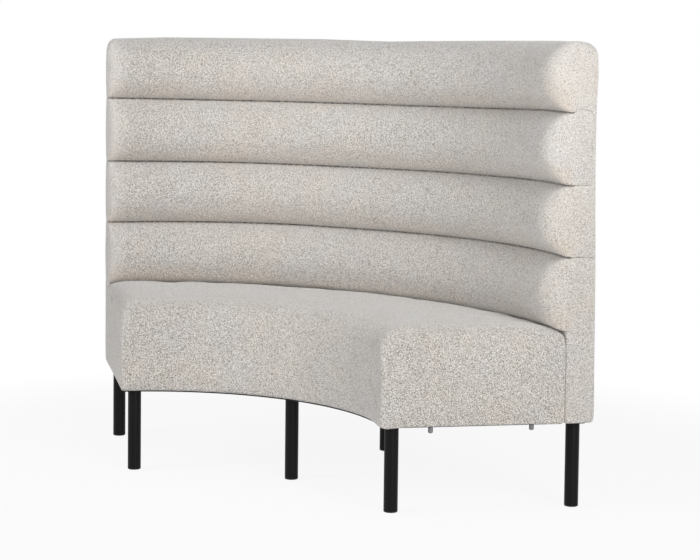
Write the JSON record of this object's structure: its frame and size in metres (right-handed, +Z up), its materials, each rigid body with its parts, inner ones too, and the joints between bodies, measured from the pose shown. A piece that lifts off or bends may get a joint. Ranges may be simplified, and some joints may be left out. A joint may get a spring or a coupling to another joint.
{
  "type": "curved banquette bench",
  "caption": "Curved upholstered banquette bench with a high horizontally channelled back and a smooth padded seat on tube legs, for seating round a table.",
  "frame": {"origin": "on the floor, under the middle of the bench's bounding box", "axes": "+X to the bench's left-to-right as seen from its front, +Y from the concave front to the back, +Z up"},
  "size_m": [1.5564, 0.6968, 1.15],
  "materials": {
    "cover": "looped boucle weave",
    "lining": "thin non-woven cloth",
    "foam": "open-cell foam",
    "wadding": "polyester wadding",
    "plywood": "bare plywood",
    "legs": "satin black powder coat",
    "glides": "moulded",
    "pins": "zinc plated",
    "fixings": "zinc plated"
  },
  "bodies": {
    "root": {"back_bottom_rail": "plywood", "back_channel_pad_bottom": "foam", "back_channel_pad_lower": "foam", "back_channel_pad_top": "foam", "back_channel_pad_upper": "foam", "back_end_rib_left": "plywood", "back_end_rib_right": "plywood", "back_end_wadding_left": "wadding", "back_end_wadding_right": "wadding", "back_front_cover": "cover", "back_front_panel": "plywood", "back_joining_rail": "plywood", "back_lining": "lining", "back_middle_rail": "plywood", "back_rail_inserts": "fixings", "back_rear_cover": "cover", "back_rear_panel": "plywood", "back_rear_wadding": "wadding", "back_rib_left": "plywood", "back_rib_middle": "plywood", "back_rib_right": "plywood", "back_top_foam": "foam", "back_top_rail": "plywood", "glide_front_left": "glides", "glide_front_middle": "glides", "glide_front_right": "glides", "glide_rear_left": "glides", "glide_rear_middle": "glides", "glide_rear_right": "glides", "leg_front_left": "legs", "leg_front_middle": "legs", "leg_front_right": "legs", "leg_inserts": "fixings", "leg_rear_left": "legs", "leg_rear_middle": "legs", "leg_rear_right": "legs", "link_pins_left": "pins", "link_pins_right": "pins", "seat_cover": "cover", "seat_cross_rail_left": "plywood", "seat_cross_rail_right": "plywood", "seat_deck": "plywood", "seat_end_rail_left": "plywood", "seat_end_rail_right": "plywood", "seat_end_wadding_left": "wadding", "seat_end_wadding_right": "wadding", "seat_foam": "foam", "seat_front_rail": "plywood", "seat_front_wadding": "wadding", "seat_leg_block_left": "plywood", "seat_leg_block_middle": "plywood", "seat_leg_block_right": "plywood", "seat_lining": "lining", "seat_rear_rail": "plywood", "seat_to_back_bolts": "fixings"}
  },
  "joints": []
}
